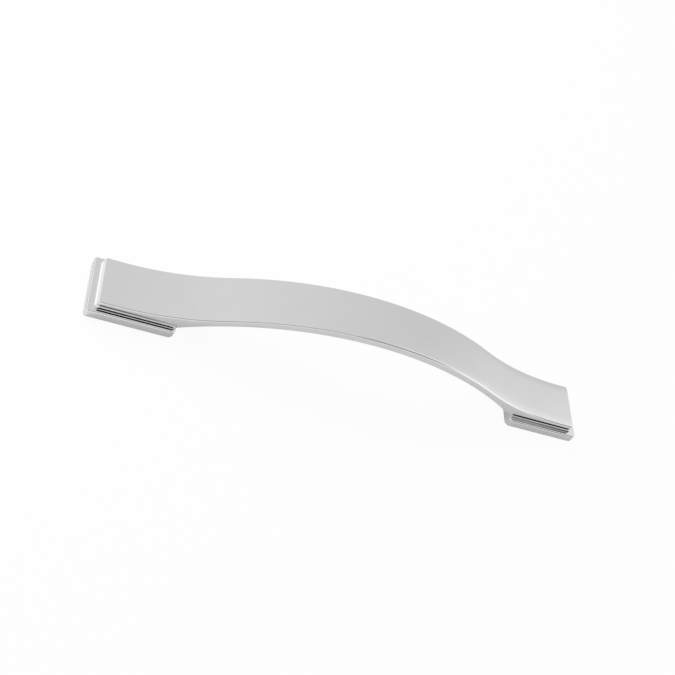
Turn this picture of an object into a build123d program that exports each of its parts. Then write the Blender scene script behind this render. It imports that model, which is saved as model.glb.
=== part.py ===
from build123d import *
from math import asin, degrees
import os

# Bow cabinet pull: a flat strap that arches between two stepped feet, cast in zinc as one piece.
# The origin lies on the mounting face, midway between the feet.
# +X runs along the pull, +Y across it and +Z out of the cabinet front.

# Driving dimensions, in millimetres
hole_spacing = 160.0  # between the two fixing screws
foot_length = 30.0  # on the mounting face
base_width = 22.2
base_height = 3.75
base_end_lean = 0.25  # how far the outer wall leans in at its top
base_outer_corner_radius = 1.2
base_inner_corner_radius = 1.8
base_rim_radius = 0.6  # round the top edge
base_sole_radius = 0.5  # round the mounting face
step_width = 19.5
step_height = 1.65
step_end_lean = 0.6
step_inner_setback = 0.2  # from the foot's inner end to the step
step_outer_setback = 2.6  # from the foot's outer end to the step
step_outer_corner_radius = 1.0
step_inner_corner_radius = 0.3
step_rim_radius = 0.2
strap_width = 18.6
strap_end_setback = 3.6  # from the foot's outer end to the top of the strap's end
strap_end_height = 1.7  # side of the strap that stands above the step
strap_end_lean = 0.35
strap_thickness = 3.3  # at the crown
strap_corner_radius = 1.0
arris_radius = 0.65  # along the strap's long edges
crown_height = 25.75  # from the mounting face to the top of the arch
crown_share = 0.58  # part of the way from the middle to the landing that the crown's arc takes
landing_length = 4.3  # flat stretch at the strap's end, before it starts to rise
inner_corner_radius = 1.5  # between the foot's inner end and the strap's underside
screw_diameter = 4.0
screw_hole_depth = 5.5
screw_lead_in = 0.5  # width of the chamfer at the hole's mouth

# Places along the pull and heights above the mounting face
foot_centre = hole_spacing / 2
foot_inner = foot_centre - foot_length / 2
foot_outer = foot_centre + foot_length / 2
step_inner = foot_inner + step_inner_setback
step_outer = foot_outer - step_outer_setback
step_top = base_height + step_height
strap_end = foot_outer - strap_end_setback
landing_start = strap_end - landing_length
landing_height = step_top + strap_end_height
core_bottom = base_height / 2  # the step and the strap end here, inside the base
step_root = step_outer + step_end_lean * (base_height - core_bottom) / step_height
strap_root = strap_end + strap_end_lean * (landing_height - core_bottom) / strap_end_height
strap_peak = strap_end - strap_end_lean * (crown_height - landing_height) / strap_end_height

# The crown's arc and the flare's arc meet where both have the same slope,
# and the flare ends level, at the start of the landing.
rise = crown_height - landing_height
both_radii = (landing_start**2 + rise**2) / (2 * rise)
crown_radius = crown_share * both_radii
flare_radius = both_radii - crown_radius
slope_angle = degrees(asin(landing_start / both_radii))

os.makedirs("parts", exist_ok=True)

with BuildPart() as base_plate:
    with BuildSketch(Plane.XZ):
        with BuildLine():
            Polyline(
                (foot_inner, 0),
                (foot_outer, 0),
                (foot_outer - base_end_lean, base_height),
                (foot_inner, base_height),
                close=True,
            )
        make_face()
    extrude(amount=base_width / 2, both=True)
    corners = base_plate.faces().filter_by(Axis.Y).edges().filter_by(Axis.X, reverse=True)
    fillet(corners.group_by(Axis.X)[-1], base_outer_corner_radius)
    corners = base_plate.faces().filter_by(Axis.Y).edges().filter_by(Axis.X, reverse=True)
    fillet(corners.group_by(Axis.X)[0], base_inner_corner_radius)
    fillet(base_plate.edges().group_by(Axis.Z)[-1], base_rim_radius)
    fillet(base_plate.edges().group_by(Axis.Z)[0], base_sole_radius)
    mirror(about=Plane.YZ)

with BuildPart() as step_plate:
    with BuildSketch(Plane.XZ):
        with BuildLine():
            Polyline(
                (step_inner, core_bottom),
                (step_root, core_bottom),
                (step_outer - step_end_lean, step_top),
                (step_inner, step_top),
                close=True,
            )
        make_face()
    extrude(amount=step_width / 2, both=True)
    corners = step_plate.faces().filter_by(Axis.Y).edges().filter_by(Axis.X, reverse=True)
    fillet(corners.group_by(Axis.X)[-1], step_outer_corner_radius)
    corners = step_plate.faces().filter_by(Axis.Y).edges().filter_by(Axis.X, reverse=True)
    fillet(corners.group_by(Axis.X)[0], step_inner_corner_radius)
    fillet(step_plate.edges().group_by(Axis.Z)[-1], step_rim_radius)
    mirror(about=Plane.YZ)

# Block with the strap's leaning ends and rounded upright corners, as high as the crown
with BuildPart() as strap_block:
    with BuildSketch(Plane.XZ):
        with BuildLine():
            Polyline(
                (-strap_root, core_bottom),
                (strap_root, core_bottom),
                (strap_peak, crown_height),
                (-strap_peak, crown_height),
                close=True,
            )
        make_face()
    extrude(amount=strap_width / 2, both=True)
    corners = strap_block.faces().filter_by(Axis.Y).edges().filter_by(Axis.X, reverse=True)
    fillet(corners, strap_corner_radius)

with BuildPart() as pull:
    # Strap: its side view, from the crown over the flare and the landing down into the foot,
    # then back along the arched underside
    with BuildSketch(Plane.XZ) as side_view:
        with BuildLine():
            crown = JernArc((0, crown_height), (1, 0), crown_radius, -slope_angle)
            flare = JernArc(crown @ 1, crown % 1, flare_radius, slope_angle)
            end = Polyline(flare @ 1, (strap_end, landing_height), (strap_root, core_bottom))
            heel = Polyline(end @ 1, (foot_inner, core_bottom), (foot_inner, base_height))
            TangentArc((0, crown_height - strap_thickness), heel @ 1, tangent=(1, 0))
            mirror(about=Plane.YZ)
        make_face()
        inner_corners = side_view.vertices().filter_by(lambda v: abs(v.Y - base_height) < 0.01)
        fillet(inner_corners, inner_corner_radius)
    extrude(amount=strap_width / 2, both=True)

    # The long edges below, the long edges above, then the upright corners of the ends
    flank_edges = pull.faces().filter_by(Axis.Y).edges()
    fillet(flank_edges.group_by(Axis.Z)[-2], arris_radius)
    flank_edges = pull.faces().filter_by(Axis.Y).edges()
    fillet(flank_edges.group_by(Axis.Z)[-1], arris_radius)
    add(strap_block.part, mode=Mode.INTERSECT)

    add(base_plate.part)
    add(step_plate.part)

    # Blind holes for the fixing screws, opening on the mounting face
    for side in (-1, 1):
        with Locations(Location((side * foot_centre, 0, 0), (180, 0, 0))):
            CounterSinkHole(
                screw_diameter / 2,
                screw_diameter / 2 + screw_lead_in,
                screw_hole_depth,
            )

pull.part.label = "pull"
export_step(pull.part, "parts/pull.step")
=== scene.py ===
# %% [markdown]
# # A chrome bow pull
# A bow pull is a cabinet handle: a flat strap arches between two stepped feet, and the whole is one
# zinc casting, polished and chrome plated. Chrome has hardly any colour of its own. It is seen by what
# it mirrors, so this lesson spends its care on three things: a surface without facets, edges that are
# rounded as a polishing wheel leaves them, and a studio worth mirroring.

# %% Load the frame
from math import atan, cos, radians, sin, sqrt, tan

import bmesh
import bpy
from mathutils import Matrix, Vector


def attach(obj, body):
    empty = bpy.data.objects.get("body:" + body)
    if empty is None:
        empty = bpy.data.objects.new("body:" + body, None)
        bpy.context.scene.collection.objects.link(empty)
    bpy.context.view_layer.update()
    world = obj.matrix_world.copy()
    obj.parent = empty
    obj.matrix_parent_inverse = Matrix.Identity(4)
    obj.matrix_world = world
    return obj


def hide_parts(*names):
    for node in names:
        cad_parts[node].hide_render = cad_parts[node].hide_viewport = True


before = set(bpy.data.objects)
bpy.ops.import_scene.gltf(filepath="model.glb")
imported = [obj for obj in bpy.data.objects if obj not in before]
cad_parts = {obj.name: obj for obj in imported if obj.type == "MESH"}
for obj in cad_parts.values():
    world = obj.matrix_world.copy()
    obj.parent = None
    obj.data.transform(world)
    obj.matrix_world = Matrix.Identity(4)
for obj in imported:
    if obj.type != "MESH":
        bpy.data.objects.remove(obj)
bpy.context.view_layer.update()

MM = 0.001
print("nodes:", sorted(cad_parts))

# %% [markdown]
# ## Sizes
# The sizes are the casting's own, in millimetres, so they read like a drawing. Blender works in metres,
# and MM turns one into the other at the last moment, when a vertex is written. The driving sizes come
# first. The places along the pull and the heights above the cabinet front follow from them.

# %% Sizes of the casting
hole_spacing = 160.0  # between the two fixing screws
foot_length = 30.0
base_width, base_height = 22.2, 3.75
step_width, step_height = 19.5, 1.65
strap_width, strap_thickness = 18.6, 3.3  # the thickness is the crown's
strap_end_setback = 3.6  # from the foot's outer end to the top of the strap's end
strap_end_height = 1.7  # side of the strap that stands above the step
landing_length = 4.3  # level stretch at the strap's end
crown_height = 25.75
crown_share = 0.58  # part of the way from the middle to the landing that the crown's arc takes

foot_inner = (hole_spacing - foot_length) / 2
foot_outer = (hole_spacing + foot_length) / 2
step_top = base_height + step_height
landing_height = step_top + strap_end_height
strap_end = foot_outer - strap_end_setback
landing_start = strap_end - landing_length
print("landing at", round(landing_height, 2), "mm, crown at", crown_height, "mm")

# %% [markdown]
# ## The line of the strap
# Seen from the side, the strap's top is two tangent arcs: the crown bends one way, the flare bends back
# and ends level on the foot. A spline through a few points would look close, but chrome shows the
# smallest wobble. So both arcs are worked out exactly, each point with its true normal.

# %% Arcs of the top and the underside
rise = crown_height - landing_height
both_radii = (landing_start**2 + rise**2) / (2 * rise)
crown_radius = crown_share * both_radii
flare_radius = both_radii - crown_radius
crown_reach = crown_share * landing_start
under_drop = crown_height - strap_thickness - base_height
under_radius = (foot_inner**2 + under_drop**2) / (2 * under_drop)
under_centre = crown_height - strap_thickness - under_radius


def top_at(x):
    """Point and upward normal of the strap's top at x, in the side view."""
    if x < crown_reach:
        normal = Vector((x, sqrt(crown_radius**2 - x**2))) / crown_radius
        return Vector((0, crown_height - crown_radius)) + normal * crown_radius, normal
    if x < landing_start:
        run = landing_start - x
        normal = Vector((run, sqrt(flare_radius**2 - run**2))) / flare_radius
        return Vector((landing_start, landing_height + flare_radius)) - normal * flare_radius, normal
    return Vector((x, landing_height)), Vector((0, 1))


def under_at(x):
    """Point and downward normal of the strap's underside at x."""
    normal = Vector((x, sqrt(under_radius**2 - x**2))) / under_radius
    return Vector((0, under_centre)) + normal * under_radius, -normal


print("flare radius", round(flare_radius, 2), "mm, steepest slope at x =", round(crown_reach, 2), "mm")

# %% [markdown]
# ## Where the underside meets the foot
# A small hollow joins the underside to the foot's inner end. A circle of the hollow's radius has to touch
# the underside's arc from below and the end's plane, and its centre follows from those two distances.
# Past the hollow the strap goes on inside the foot, out of sight, so that the two overlap well when they
# are joined.

# %% Stations along one half of the strap
hollow_radius = 1.5
tuck = 0.02  # the hollow ends this far inside the foot, so that no two joined faces share a plane
hollow_x = foot_inner - hollow_radius + tuck
hollow_z = under_centre + sqrt((under_radius - hollow_radius) ** 2 - hollow_x**2)
hollow_start, hollow_end = atan(hollow_x / (hollow_z - under_centre)), radians(89)
hollow_spread = 0.08  # between the points of the top above the hollow
touch_x = hollow_x + hollow_radius * sin(hollow_start)
heel_run, heel_drop, heel_end = 1.2, 0.4, 1.6  # how the strap turns down inside the foot
core_bottom = 2.0  # the strap's lowest points, inside the base
overshoot = 2.0  # past the strap's end, for the trimming block to cut off
arch_parts, hollow_parts, foot_parts = 65, 10, 25


def half_stations():
    """Top and underside points with their normals, from the crown to a little past the strap's end."""
    found = []
    for i in range(arch_parts + 1):
        x = touch_x * i / arch_parts
        found.append((top_at(x), under_at(x)))
    for i in range(1, hollow_parts + 1):
        turn = hollow_start + (hollow_end - hollow_start) * i / hollow_parts
        out = Vector((sin(turn), cos(turn)))
        under = Vector((hollow_x, hollow_z)) + out * hollow_radius
        found.append((top_at(touch_x + hollow_spread * i), (under, -out)))
    down = Vector((0, -1))
    x = foot_inner + heel_run
    found.append((top_at(x), (Vector((x, hollow_z - heel_drop)), down)))
    core_start, core_end = foot_inner + heel_end, strap_end + overshoot
    for i in range(foot_parts + 1):
        x = core_start + (core_end - core_start) * i / foot_parts
        found.append((top_at(x), (Vector((x, core_bottom)), down)))
    return found


half = half_stations()
print(len(half), "stations on each half; the hollow touches the underside at x =", round(touch_x, 2), "mm")

# %% [markdown]
# ## The strap as a mesh
# An extrusion with a Bevel modifier would also give a strap. Here the rounded section is written directly
# at each station instead, because then every edge rounding keeps its true radius on the slopes, and the
# mesh is clean rows of quads. Towards the feet a polishing wheel also rolls over the edges, so the last
# three millimetres of the top fall away by a hair. Only a mirror shows that, as a soft change of tone.

# %% Section of the strap
arris_radius = 0.65  # along the strap's long edges
arc_parts, roll_parts = 6, 5
quarter_turn = [radians(90) * i / arc_parts for i in range(arc_parts + 1)]
roll_width, roll_slope = 3.0, tan(radians(2.5))
roll_begins, roll_full = 20.0, 50.0  # from the pull's middle
roll_ways = [roll_width * i / roll_parts for i in range(1, roll_parts + 1)]


def section(station, side_x):
    """Closed ring of points round the strap at a station: up the front, over the top and down the back."""
    (top, top_normal), (under, under_normal) = station
    half_width = strap_width / 2
    roll_share = min(1, max(0, (top.x - roll_begins) / (roll_full - roll_begins)))
    roll_drop = roll_share * roll_slope * roll_width / 2
    column = []
    for turn in reversed(quarter_turn):
        p = under - under_normal * arris_radius * (1 - sin(turn))
        column.append((p, half_width - arris_radius * (1 - cos(turn))))
    for turn in quarter_turn:
        p = top - top_normal * (arris_radius * (1 - sin(turn)) + roll_drop)
        column.append((p, half_width - arris_radius * (1 - cos(turn))))
    for way in roll_ways:
        p = top - top_normal * roll_drop * (1 - way / roll_width) ** 2
        column.append((p, half_width - arris_radius - way))
    front = [(side_x * p.x, -y, p.y) for p, y in column]
    back = [(side_x * p.x, y, p.y) for p, y in reversed(column)]
    return front + back


print("points round the strap:", len(section(half[0], 1)))

# %% Build the strap
weld = 1e-8  # metres


def skin(bm, rings):
    """Faces between rings of points in millimetres, with a flat cap on the first and the last."""
    rows = [[bm.verts.new(Vector(p) * MM) for p in ring] for ring in rings]
    for a, b in zip(rows, rows[1:]):
        for i in range(len(a)):
            j = (i + 1) % len(a)
            bm.faces.new((a[i], a[j], b[j], b[i]))
    bm.faces.new(rows[0])
    bm.faces.new(rows[-1])


def to_object(name, bm):
    """Closes a bmesh into an object at the origin, with its faces pointing outwards."""
    bmesh.ops.remove_doubles(bm, verts=bm.verts, dist=weld)
    bmesh.ops.recalc_face_normals(bm, faces=bm.faces)
    mesh = bpy.data.meshes.new(name)
    bm.to_mesh(mesh)
    bm.free()
    obj = bpy.data.objects.new(name, mesh)
    bpy.context.scene.collection.objects.link(obj)
    return obj


strap_bm = bmesh.new()
skin(strap_bm, [section(s, -1) for s in reversed(half)] + [section(s, 1) for s in half[1:]])
body = to_object("pull_body", strap_bm)
print("strap:", len(body.data.polygons), "faces")

# %% [markdown]
# ## Plates with rounded corners
# Each foot is two plates: a base on the cabinet front, and a narrower step on it. A plate is one outline,
# a rectangle with rounded corners, carried up its wall and over its rim as rings. A bevelled cube would do
# for a straight plate, but rings make the lean of the outer wall and every rounding exact.

# %% Outlines and rings
corner_parts = 8


def outline(inner, outer, width, inner_radius, outer_radius):
    """Points round a rectangle with rounded corners, each with its outward normal and the end it is at."""
    points = []
    corners = ((outer, 1, 1, 0), (inner, -1, 1, 90), (inner, -1, -1, 180), (outer, 1, -1, 270))
    for x_end, way_x, way_y, start in corners:
        r = outer_radius if way_x > 0 else inner_radius
        for i in range(corner_parts + 1):
            a = radians(start + 90 * i / corner_parts)
            x = x_end - way_x * r + r * cos(a)
            y = way_y * (width / 2 - r) + r * sin(a)
            points.append((x, y, cos(a), sin(a), way_x))
    return points


def ring_at(points, side, lean_at, inset, z, flare=0, both_ends=False):
    """The outline at height z, moved in by inset; flare moves it out, except at the foot's inner end."""
    ring = []
    for x, y, nx, ny, end in points:
        lean = lean_at(z) * (end if both_ends or end > 0 else 0)
        move = flare * min(1, 1 + nx) - inset
        ring.append((side * (x - lean + nx * move), y + ny * move, z))
    return ring


print("points round a plate:", 4 * (corner_parts + 1))

# %% Build the base plates
base_inner_corner, base_outer_corner = 1.8, 1.2
base_rim_radius, base_sole_radius = 0.6, 0.5
base_end_lean = 0.25  # of the outer wall, from the bottom to the top
base_points = outline(foot_inner, foot_outer, base_width, base_inner_corner, base_outer_corner)


def base_lean(z):
    """How far the base's outer wall has leaned in at height z."""
    return base_end_lean * z / base_height


base_bm = bmesh.new()
for side in (-1, 1):
    rings = []
    for turn in reversed(quarter_turn):
        inset, z = base_sole_radius * (1 - cos(turn)), base_sole_radius * (1 - sin(turn))
        rings.append(ring_at(base_points, side, base_lean, inset, z))
    for turn in quarter_turn:
        inset, z = base_rim_radius * (1 - cos(turn)), base_height - base_rim_radius * (1 - sin(turn))
        rings.append(ring_at(base_points, side, base_lean, inset, z))
    skin(base_bm, rings)
bases = to_object("bases", base_bm)
print("base plates:", len(bases.data.polygons), "faces")

# %% [markdown]
# ## Steps
# A small cove fills the corner between step and base, because neither the mould nor the polishing wheel
# makes it quite sharp, and the step's top falls away from the strap by three degrees. Both are too small
# to see by themselves. They turn the mirror, though, and so they place the black and grey lines in the
# corners of the feet.

# %% Build the step plates
step_inner_setback, step_outer_setback = 0.2, 2.6  # from the foot's ends
step_inner, step_outer = foot_inner + step_inner_setback, foot_outer - step_outer_setback
step_inner_corner, step_outer_corner, step_rim_radius = 0.3, 1.0, 0.1
step_end_lean = 0.6
cove_radius = 0.22
ledge_run, ledge_fall = 1.2, tan(radians(3))
ledge_top = step_top + (ledge_run - step_rim_radius) * ledge_fall
sunk = 0.01  # the cove starts this far inside the base, so that the two overlap
root_gap = 0.5  # keeps the bottoms of the strap, the step and the trimming block apart
step_points = outline(step_inner, step_outer, step_width, step_inner_corner, step_outer_corner)
step_middle = outline(step_inner + ledge_run, step_outer - ledge_run, step_width - 2 * ledge_run, 0, 0)


def step_lean(z):
    """How far the step's outer wall has leaned in at height z."""
    return step_end_lean * (z - base_height) / step_height


step_bm = bmesh.new()
for side in (-1, 1):
    rings = [ring_at(step_points, side, step_lean, 0, core_bottom + root_gap, cove_radius)]
    for turn in reversed(quarter_turn):
        flare, z = cove_radius * (1 - cos(turn)), base_height - sunk + cove_radius * (1 - sin(turn))
        rings.append(ring_at(step_points, side, step_lean, 0, z, flare))
    for turn in quarter_turn:
        inset, z = step_rim_radius * (1 - cos(turn)), step_top - step_rim_radius * (1 - sin(turn))
        rings.append(ring_at(step_points, side, step_lean, inset, z))
    rings.append(ring_at(step_middle, side, step_lean, 0, ledge_top))
    skin(step_bm, rings)
steps = to_object("steps", step_bm)
print("step plates:", len(steps.data.polygons), "faces")

# %% [markdown]
# ## Ends of the strap
# The strap runs a little too long so far. Its real ends lean in and have rounded upright corners, like the
# plates. A block of that form, as long as the whole strap, trims them. It is a hair wider than the strap,
# so it leaves the sides as they are.

# %% Build the trimming block
strap_end_lean, strap_corner = 0.42, 1.0
block_spare, block_rise = 0.04, 1.0  # wider than the strap, and higher than the crown, by this much
block_heights = (core_bottom - root_gap, crown_height + block_rise)
block_points = outline(-strap_end, strap_end, strap_width + block_spare, strap_corner, strap_corner)


def strap_lean(z):
    """How far the strap's end has leaned in at height z, counted from the landing."""
    return strap_end_lean * (z - landing_height) / strap_end_height


block_bm = bmesh.new()
skin(block_bm, [ring_at(block_points, 1, strap_lean, 0, z, both_ends=True) for z in block_heights])
block = to_object("block", block_bm)
print("trimming block: from", block_heights[0], "to", block_heights[1], "mm")

# %% [markdown]
# ## Screw holes
# The cabinet's screws come from behind, so each foot has a blind hole in its back, with a lead-in that
# guides the screw. On a real casting such holes are drilled or cast in. Here a turned cutter of the hole's
# form is taken away. It starts a little below the back, so that no two faces share a plane.

# %% Build the cutter for the holes
hole_radius, hole_depth, lead_in = 2.0, 5.5, 0.5
hole_sides, lead_in_slope = 96, tan(radians(41))
below = 0.3  # the cutter starts this far below the back
profile = (
    (hole_radius + lead_in + below * lead_in_slope, -below),
    (hole_radius, lead_in / lead_in_slope),
    (hole_radius, hole_depth),
)
turns = [radians(360) * i / hole_sides for i in range(hole_sides)]
cutter_bm = bmesh.new()
for x in (-hole_spacing / 2, hole_spacing / 2):
    skin(cutter_bm, [[(x + r * cos(t), r * sin(t), z) for t in turns] for r, z in profile])
cutter = to_object("cutter", cutter_bm)
print("holes:", 2 * hole_radius, "mm wide and", hole_depth, "mm deep")

# %% [markdown]
# ## One casting
# The real pull is one piece, so its parts are joined with Boolean modifiers: the block trims the strap, the
# plates are added, and the holes are taken away. Joining with overlaps and no shared planes keeps that
# clean. Afterwards, Weighted Normal makes each wide face keep its own direction, so that only the narrow
# roundings bend the reflection. Without it, a flat face beside a rounding would look dented.

# %% Join the casting
joins = ((block, "INTERSECT"), (bases, "UNION"), (steps, "UNION"), (cutter, "DIFFERENCE"))
for other, operation in joins:
    join = body.modifiers.new(other.name, "BOOLEAN")
    join.object, join.operation, join.solver = other, operation, "EXACT"
    join.use_self = True


def made_plain(obj):
    """Gives the object its evaluated mesh, and takes its modifiers away."""
    mesh = bpy.data.meshes.new_from_object(obj.evaluated_get(bpy.context.evaluated_depsgraph_get()))
    obj.modifiers.clear()
    obj.data = mesh


made_plain(body)
for spare in (block, bases, steps, cutter):
    bpy.data.objects.remove(spare)
print("joined:", len(body.data.polygons), "faces")

# %% Weld and shade the casting
join_weld = 1e-7  # metres
sharp_angle = radians(32)
bm = bmesh.new()
bm.from_mesh(body.data)
bmesh.ops.remove_doubles(bm, verts=bm.verts, dist=join_weld)
bmesh.ops.dissolve_degenerate(bm, edges=bm.edges, dist=join_weld)
open_edges = [e for e in bm.edges if not e.is_manifold]
volume = bm.calc_volume() / MM**3
bm.to_mesh(body.data)
bm.free()
body.data.shade_smooth()
body.data.set_sharp_from_angle(angle=sharp_angle)
weighted = body.modifiers.new("weighted", "WEIGHTED_NORMAL")
weighted.mode, weighted.weight, weighted.keep_sharp = "FACE_AREA", 100, True
made_plain(body)
face_count = len(body.data.polygons)
print("casting:", face_count, "faces,", len(open_edges), "open edges,", round(volume), "cubic mm")

# %% [markdown]
# ## Chrome plate
# Polished zinc with a bright chrome plate: a cool, nearly white mirror. A perfect mirror looks drawn, so
# noise at the size of real plating haze changes its roughness, and long fine polishing lines run along
# the strap. No polishing wheel reaches the backs of the feet or the screw holes. There the plate keeps the
# grain of the casting, so it is dull.

# %% Helpers for nodes
def linear(code):
    """Linear colour of an sRGB hex value."""
    parts = [int(code[i : i + 2], 16) / 255 for i in (1, 3, 5)]
    return [c / 12.92 if c <= 0.04045 else ((c + 0.055) / 1.055) ** 2.4 for c in parts] + [1.0]


def add_node(tree, kind, settings=None, **inputs):
    """Adds a node and sets or links its inputs, named with _ for a space, or i0, i1 by their place."""
    node = tree.nodes.new(kind)
    for key, value in (settings or {}).items():
        setattr(node, key, value)
    for key, value in inputs.items():
        by_place = key[0] == "i" and key[1:].isdigit()
        socket = node.inputs[int(key[1:]) if by_place else key.replace("_", " ")]
        if isinstance(value, bpy.types.NodeSocket):
            tree.links.new(value, socket)
        else:
            socket.default_value = value
    return node


def worked_out(tree, operation, *values):
    """Output of a Math node on the values, each a number or a socket."""
    inputs = {f"i{n}": value for n, value in enumerate(values)}
    return add_node(tree, "ShaderNodeMath", {"operation": operation}, **inputs).outputs[0]


def noise(tree, place, size, detail):
    """Noise from 0 to 1, with patches of about the given size in millimetres."""
    node = add_node(tree, "ShaderNodeTexNoise", Vector=place, Scale=1 / (size * MM), Detail=detail)
    return node.outputs["Fac"]


print("mid grey in linear light:", round(linear("#808080")[0], 3))

# %% Materials
haze_detail, grain_detail, grain_strength = 3.0, 2.0, 0.3


def plate(name, patch_size, colours, roughness, grain_size, stretch, grain_depth):
    """A metal with patches of colour and roughness and a fine grain; sizes are in millimetres."""
    mat = bpy.data.materials.new(name)
    mat.use_nodes = True
    tree = mat.node_tree
    shader = tree.nodes["Principled BSDF"]
    place = add_node(tree, "ShaderNodeTexCoord").outputs["Object"]
    haze = noise(tree, place, patch_size, haze_detail)
    drawn_out = add_node(tree, "ShaderNodeMapping", Vector=place, Scale=(1 / stretch, 1.0, 1.0))
    grain = noise(tree, drawn_out.outputs["Vector"], grain_size, grain_detail)
    first, second = linear(colours[0]), linear(colours[1])
    tone = add_node(tree, "ShaderNodeMix", {"data_type": "RGBA"}, Factor=haze, A=first, B=second)
    polish = add_node(tree, "ShaderNodeMapRange", Value=haze, To_Min=roughness[0], To_Max=roughness[1])
    depth = grain_depth * MM
    bump = add_node(tree, "ShaderNodeBump", Height=grain, Strength=grain_strength, Distance=depth)
    shader.inputs["Metallic"].default_value = 1.0
    tree.links.new(tone.outputs["Result"], shader.inputs["Base Color"])
    tree.links.new(polish.outputs["Result"], shader.inputs["Roughness"])
    tree.links.new(bump.outputs["Normal"], shader.inputs["Normal"])
    return mat


# Chrome polished on a wheel: a clear mirror. Its lines are finer than 0.05 mm and drawn at 0.5 mm to show
chrome = plate(
    "polished_chrome_plate",
    patch_size=9,
    colours=("#ECECEC", "#E8E8E8"),
    roughness=(0.04, 0.07),
    grain_size=0.5,
    stretch=50,
    grain_depth=0.0005,
)
# Chrome straight from the bath on cast zinc: grey, with a soft gleam and a fine grain
dull = plate(
    "unpolished_chrome_plate",
    patch_size=4,
    colours=("#C9CACC", "#BDBEC1"),
    roughness=(0.32, 0.45),
    grain_size=0.35,
    stretch=1,
    grain_depth=0.02,
)
print("materials:", chrome.name, "and", dull.name)

# %% Plate the casting
on_back, past_end = 0.01, 0.1  # how far a face's middle may lie off the back, or past a hole's end
body.data.materials.clear()
body.data.materials.append(chrome)
body.data.materials.append(dull)
for face in body.data.polygons:
    x, y, z = face.center / MM
    from_axis = sqrt((abs(x) - hole_spacing / 2) ** 2 + y**2)
    in_hole = from_axis < hole_radius + lead_in and z < hole_depth + past_end
    face.material_index = 1 if in_hole or z < on_back else 0
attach(body, "root")
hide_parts("pull")
print("dull faces:", sum(face.material_index for face in body.data.polygons))

# %% [markdown]
# ## Thread
# A screw comes through the cabinet front from behind and turns into each foot, so a tap has cut an M4
# thread in the holes. Its ridge is a three-sided section that follows a helix. That is work for Geometry
# Nodes: one helix is swept, and stands at both holes. The sizes are inputs of the tree, so another thread
# takes only other numbers. An M4 thread is right-hand, and the Spiral node's own turn is left-hand, so it
# is reversed. The section is turned by half a turn as well, so that its point faces the screw.

# %% Nodes of the thread
points_per_turn = 48
half_turn = (0, 0, radians(180))


def thread_tree():
    """A node tree that sweeps the thread's ridge along a helix in each of the two holes."""
    tree = bpy.data.node_groups.new("cut_thread", "GeometryNodeTree")
    tree.interface.new_socket("Geometry", in_out="OUTPUT", socket_type="NodeSocketGeometry")
    for name in ("Turns", "Pitch", "Radius", "Ridge", "Start", "Spacing"):
        tree.interface.new_socket(name, in_out="INPUT", socket_type="NodeSocketFloat")
    tree.interface.new_socket("Finish", in_out="INPUT", socket_type="NodeSocketMaterial")
    given = add_node(tree, "NodeGroupInput").outputs
    helix = add_node(
        tree,
        "GeometryNodeCurveSpiral",
        Resolution=points_per_turn,
        Rotations=given["Turns"],
        Start_Radius=given["Radius"],
        End_Radius=given["Radius"],
        Height=worked_out(tree, "MULTIPLY", given["Turns"], given["Pitch"]),
        Reverse=True,
    ).outputs["Curve"]
    upright = add_node(tree, "GeometryNodeSetCurveNormal", {"mode": "Z_UP"}, Curve=helix).outputs["Curve"]
    ridge = add_node(tree, "GeometryNodeCurvePrimitiveCircle", Resolution=3, Radius=given["Ridge"])
    inward = add_node(tree, "GeometryNodeTransform", Geometry=ridge.outputs["Curve"], Rotation=half_turn)
    swept = add_node(
        tree,
        "GeometryNodeCurveToMesh",
        Curve=upright,
        Profile_Curve=inward.outputs["Geometry"],
        Fill_Caps=True,
    ).outputs["Mesh"]
    left = worked_out(tree, "MULTIPLY", given["Spacing"], -0.5)
    first = add_node(tree, "ShaderNodeCombineXYZ", X=left, Z=given["Start"]).outputs[0]
    apart = add_node(tree, "ShaderNodeCombineXYZ", X=given["Spacing"]).outputs[0]
    holes = add_node(tree, "GeometryNodeMeshLine", Count=2, Start_Location=first, Offset=apart)
    both = add_node(tree, "GeometryNodeInstanceOnPoints", Points=holes.outputs["Mesh"], Instance=swept)
    real = add_node(tree, "GeometryNodeRealizeInstances", Geometry=both.outputs["Instances"])
    joined = real.outputs["Geometry"]
    finished = add_node(tree, "GeometryNodeSetMaterial", Geometry=joined, Material=given["Finish"])
    add_node(tree, "NodeGroupOutput", Geometry=finished.outputs["Geometry"])
    return tree


cut_thread = thread_tree()
print("nodes of the thread:", len(cut_thread.nodes))

# %% Cut the thread
pitch, crest_radius, ridge_radius = 0.7, 1.62, 0.28
thread_start, thread_end = 0.75, 5.2  # above the back
thread = bpy.data.objects.new("screw_thread", bpy.data.meshes.new("screw_thread"))
bpy.context.scene.collection.objects.link(thread)
cut = thread.modifiers.new("cut_thread", "NODES")
cut.node_group = cut_thread
wanted = {
    "Turns": (thread_end - thread_start) / pitch,
    "Pitch": pitch * MM,
    "Radius": (crest_radius + ridge_radius) * MM,
    "Ridge": ridge_radius * MM,
    "Start": thread_start * MM,
    "Spacing": hole_spacing * MM,
    "Finish": dull,
}
for socket in cut_thread.interface.items_tree:
    if socket.in_out == "INPUT":
        cut[socket.identifier] = wanted[socket.name]
made_plain(thread)
# The mesh comes with an empty slot before its own material
thread.data.materials.pop(index=0)
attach(thread, "root")
spots = [v.co / MM for v in thread.data.vertices]
reach = [sqrt((abs(p.x) - hole_spacing / 2) ** 2 + p.y**2) for p in spots]
thread_faces = len(thread.data.polygons)
print("thread:", thread_faces, "faces, radius", round(min(reach), 3), "to", round(max(reach), 3), "mm")

# %% [markdown]
# ## Floor
# The pull lies on white paper that runs out of the picture. For the camera alone most of the paper is a
# white glow, so it comes out nearly as white as the photograph's ground, and the rest of it keeps a faint
# shadow. In the chrome it is mirrored as plain matt paper.

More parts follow.
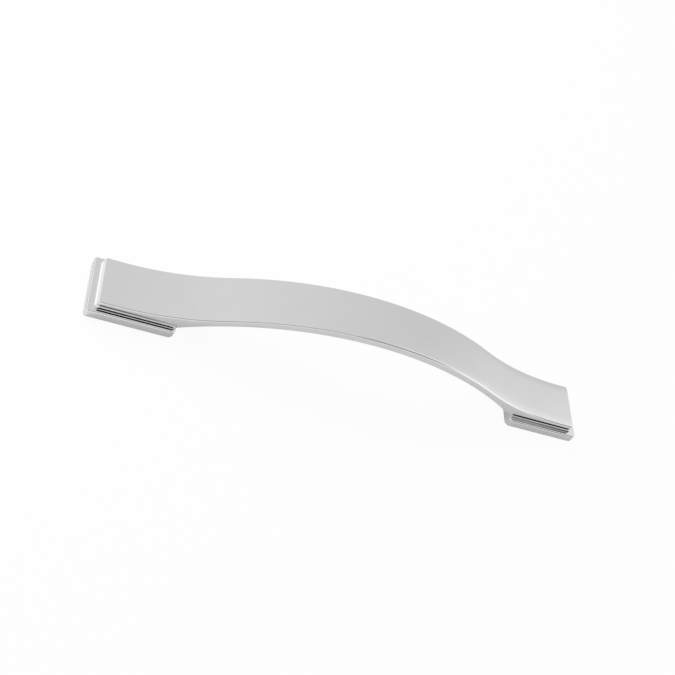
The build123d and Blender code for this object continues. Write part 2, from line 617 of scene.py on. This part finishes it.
# %% Floor
floor_size = 6.0  # metres
floor_drop = 0.05  # below the pull's back
glow_share = 0.93
bpy.ops.mesh.primitive_plane_add(size=floor_size, location=(0, 0, -floor_drop * MM))
floor = bpy.context.object
floor.name = "floor"
# Matt paper: an even white ground without a gleam
paper = bpy.data.materials.new("matt_white_paper")
paper.use_nodes = True
tree = paper.node_tree
tree.nodes.remove(tree.nodes["Principled BSDF"])
path = add_node(tree, "ShaderNodeLightPath").outputs
matt = add_node(tree, "ShaderNodeBsdfDiffuse", Color=linear("#F2F2F2")).outputs[0]
glow = add_node(tree, "ShaderNodeEmission", Color=linear("#FFFFFF"), Strength=1.0).outputs[0]
share = worked_out(tree, "MULTIPLY", path["Is Camera Ray"], glow_share)
mixed = add_node(tree, "ShaderNodeMixShader", i0=share, i1=matt, i2=glow).outputs[0]
tree.links.new(mixed, tree.nodes["Material Output"].inputs["Surface"])
floor.data.materials.append(paper)
print("floor:", floor_size, "m wide")

# %% [markdown]
# ## Light tent
# Small chrome is photographed in a tent of white cloth. Here the tent is the world, because a world has no
# edge and casts no shadow. The cloth is a little lighter on the left, low down, and at the right towards
# the front. Each place in the tent that differs from the cloth is a round spot: its direction from the
# pull, the angles in degrees at which it is full and at which it has faded away, and its strength. A later
# spot lies over an earlier one.
#
# In the tent's front is a dark slit that starts beside the lens and runs to the right. Chrome needs it: it
# draws the dark line on the strap's edge and the black lines in the steps. Lamps behind the cloth give the
# ends of the left foot and the strap's long edge their bright stretches.

# %% Spots of the tent
tent_spots = (
    ("slit, left end", (-0.32, -0.78, 0.54), 7, 15, 0.1),
    ("slit, left", (-0.08, -0.66, 0.75), 5, 10, 0.0),
    ("grey cloth at the front right", (0.51, -0.68, 0.53), 13, 22, 0.3),
    ("slit, middle left", (0.10, -0.585, 0.805), 5.5, 9.5, 0.0),
    ("slit, middle right", (0.36, -0.467, 0.808), 4, 8.5, 0.0),
    ("slit, right", (0.47, -0.400, 0.787), 4, 7, 0.0),
    ("slit, far right", (0.57, -0.385, 0.726), 3, 5.5, 0.0),
    ("fold in the grey cloth", (0.54, -0.585, 0.605), 2.5, 5.5, 0.0),
    ("edge of the fold", (0.60, -0.485, 0.64), 2.7, 4.4, 0.13),
    ("slit, right end", (0.66, -0.31, 0.68), 4, 9, 0.1),
    ("gap low at the back left", (-0.80, 0.59, 0.08), 14, 20, 0.25),
    ("rim of the lamp at the back left", (-0.51, 0.60, 0.615), 3.5, 6, 1.17),
    ("lamp at the back left", (-0.635, 0.59, 0.50), 4, 8, 1.6),
    ("lamp at the right", (0.90, -0.33, 0.25), 10, 19, 1.3),
    ("white card at the right", (0.78, 0.05, 0.62), 5, 13, 1.0),
)
print("spots in the tent:", len(tent_spots))

# %% [markdown]
# ## World
# Only rays that the metal mirrors see the cloth and its spots. All other light takes one even level, so the
# paper is lit evenly, and the camera itself sees plain white.

# %% World
cloth_level, cloth_slope = 0.745, -0.105  # straight up, and its change towards +X
front_lift, front_begins, front_full = 0.25, 0.575, 0.45  # by the direction's Y
right_begins, right_full = 0.35, 0.6  # by its X
low_lift, low_begins, low_full = 0.045, 0.55, 0.2  # by its Z
room_level, backdrop_level = 0.7, 1.0


def faded(tree, value, begins, full, height=1.0, kind="LINEAR"):
    """A number that rises from 0 to height while value goes from begins to full."""
    settings = {"interpolation_type": kind}
    ends = {"From_Min": begins, "From_Max": full, "To_Max": height}
    return add_node(tree, "ShaderNodeMapRange", settings, Value=value, **ends).outputs["Result"]


def blended(tree, first, second, share, label=""):
    """Mixes two strengths, each a number or a socket."""
    mix = add_node(tree, "ShaderNodeMix", {"label": label}, Factor=share, A=first, B=second)
    return mix.outputs["Result"]


world = bpy.data.worlds.new("white_tent")
bpy.context.scene.world = world
world.use_nodes = True
tree = world.node_tree
direction = add_node(tree, "ShaderNodeTexCoord").outputs["Generated"]
axes = add_node(tree, "ShaderNodeSeparateXYZ", Vector=direction).outputs
cloth = worked_out(tree, "MULTIPLY_ADD", axes["X"], cloth_slope, cloth_level)
front = faded(tree, axes["Y"], front_begins, front_full, front_lift)
right = faded(tree, axes["X"], right_begins, right_full, kind="SMOOTHSTEP")
lifted = worked_out(tree, "MULTIPLY_ADD", front, right, cloth)
low = faded(tree, axes["Z"], low_begins, low_full, low_lift)
level = worked_out(tree, "ADD", lifted, low)
for name, axis, full, gone, strength in tent_spots:
    toward = Vector(axis).normalized()
    dot = add_node(tree, "ShaderNodeVectorMath", {"operation": "DOT_PRODUCT"}, i0=direction, i1=toward)
    near, far = cos(radians(full)), cos(radians(gone))
    mask = faded(tree, dot.outputs["Value"], far, near, kind="SMOOTHSTEP")
    level = blended(tree, level, strength, mask, name)
path = add_node(tree, "ShaderNodeLightPath").outputs
seen = blended(tree, room_level, level, path["Is Glossy Ray"])
shown = blended(tree, seen, backdrop_level, path["Is Camera Ray"])
tree.nodes["Background"].inputs["Color"].default_value = linear("#FFFFFF")
tree.links.new(shown, tree.nodes["Background"].inputs["Strength"])
print("nodes of the world:", len(tree.nodes))

# %% [markdown]
# ## Lamp
# One softbox stands behind the pull at the left and gives the paper its soft shadow. The chrome doesn't
# mirror it: the tent's bright spots stand for it there, because their edges can be made softer.

# %% Lamp
lamp_way = Vector((-0.62, 0.60, 0.50)).normalized()
lamp_distance = 0.9  # metres
softbox = bpy.data.lights.new("softbox", "AREA")
softbox.size, softbox.energy = 0.6, 5.0  # metres and watts
lamp = bpy.data.objects.new("softbox", softbox)
lamp.location = lamp_way * lamp_distance
lamp.rotation_euler = lamp.location.to_track_quat("Z", "Y").to_euler()
lamp.visible_glossy = False
bpy.context.scene.collection.objects.link(lamp)
print("softbox at", [round(c, 2) for c in lamp.location], "m")

# %% [markdown]
# ## Camera
# The camera looks down on the pull from the front left, as in the photograph. Its place, its turn and its
# lens were worked out from the straight edges of the feet, so that the model's edges lie over the real
# ones.

# %% Camera
camera_place = Vector((-132.298, -201.932, 267.084))
camera_turn = (35.3492, -25.5629, -0.0197)  # degrees about X, Y and Z
lens = bpy.data.cameras.new("camera")
lens.lens, lens.sensor_width = 53.4425, 36.0
camera = bpy.data.objects.new("camera", lens)
camera.location = camera_place * MM
camera.rotation_euler = [radians(a) for a in camera_turn]
bpy.context.scene.collection.objects.link(camera)
bpy.context.scene.camera = camera
bpy.context.scene.view_settings.view_transform = "Standard"
print("camera:", round(camera_place.length), "mm from the pull's middle")
